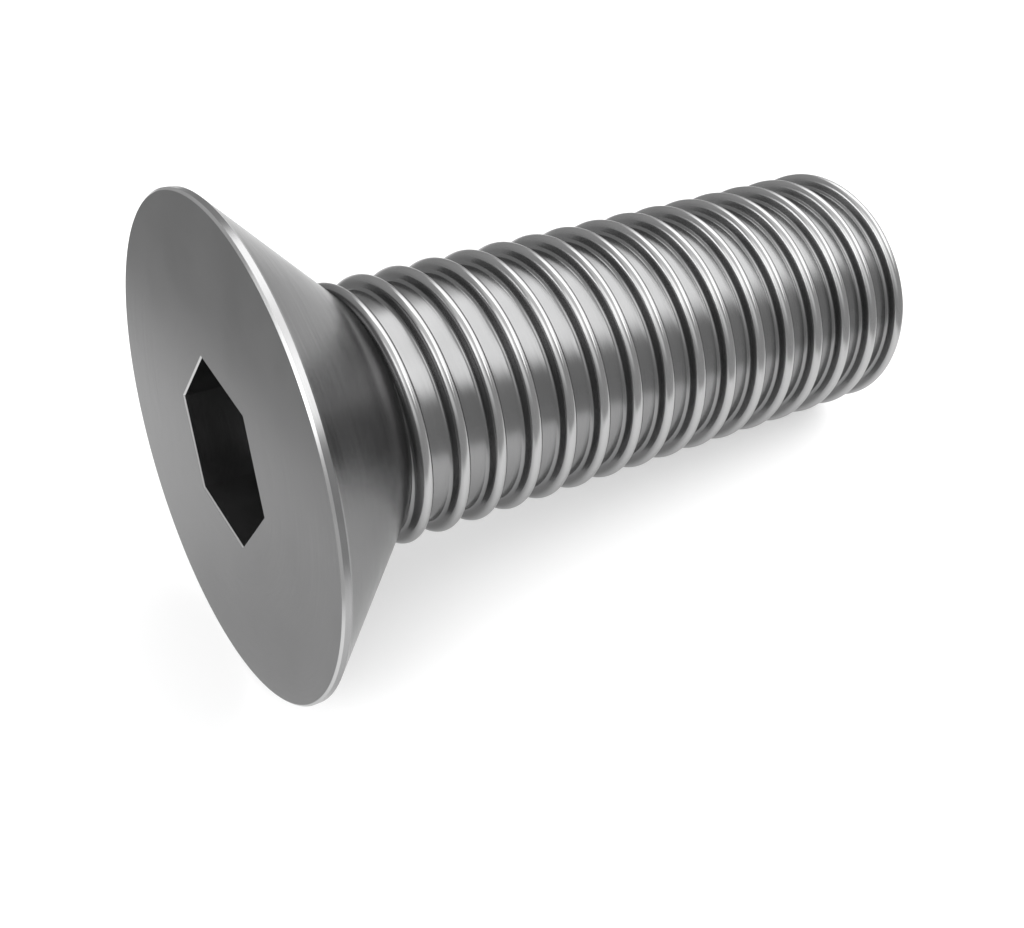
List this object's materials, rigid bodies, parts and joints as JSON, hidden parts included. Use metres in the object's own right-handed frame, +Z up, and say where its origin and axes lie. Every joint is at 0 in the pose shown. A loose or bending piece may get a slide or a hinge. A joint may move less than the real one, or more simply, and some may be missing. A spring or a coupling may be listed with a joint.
{
  "type": "countersunk screw",
  "caption": "Countersunk machine screw with a hexagon socket, fully threaded up to the cone of its head, in plain steel.",
  "frame": {"origin": "on the ground, under the middle of the lying screw", "axes": "+Z up; the screw's axis lies in the XZ plane, its tip towards +X and its head towards -X, sloping down to the tip because the wide edge of the head and the last turns of the thread both rest on the ground"},
  "size_m": [0.0302, 0.0184, 0.0183],
  "materials": {
    "steel": "satin"
  },
  "bodies": {
    "root": {"screw": "steel"}
  },
  "joints": []
}
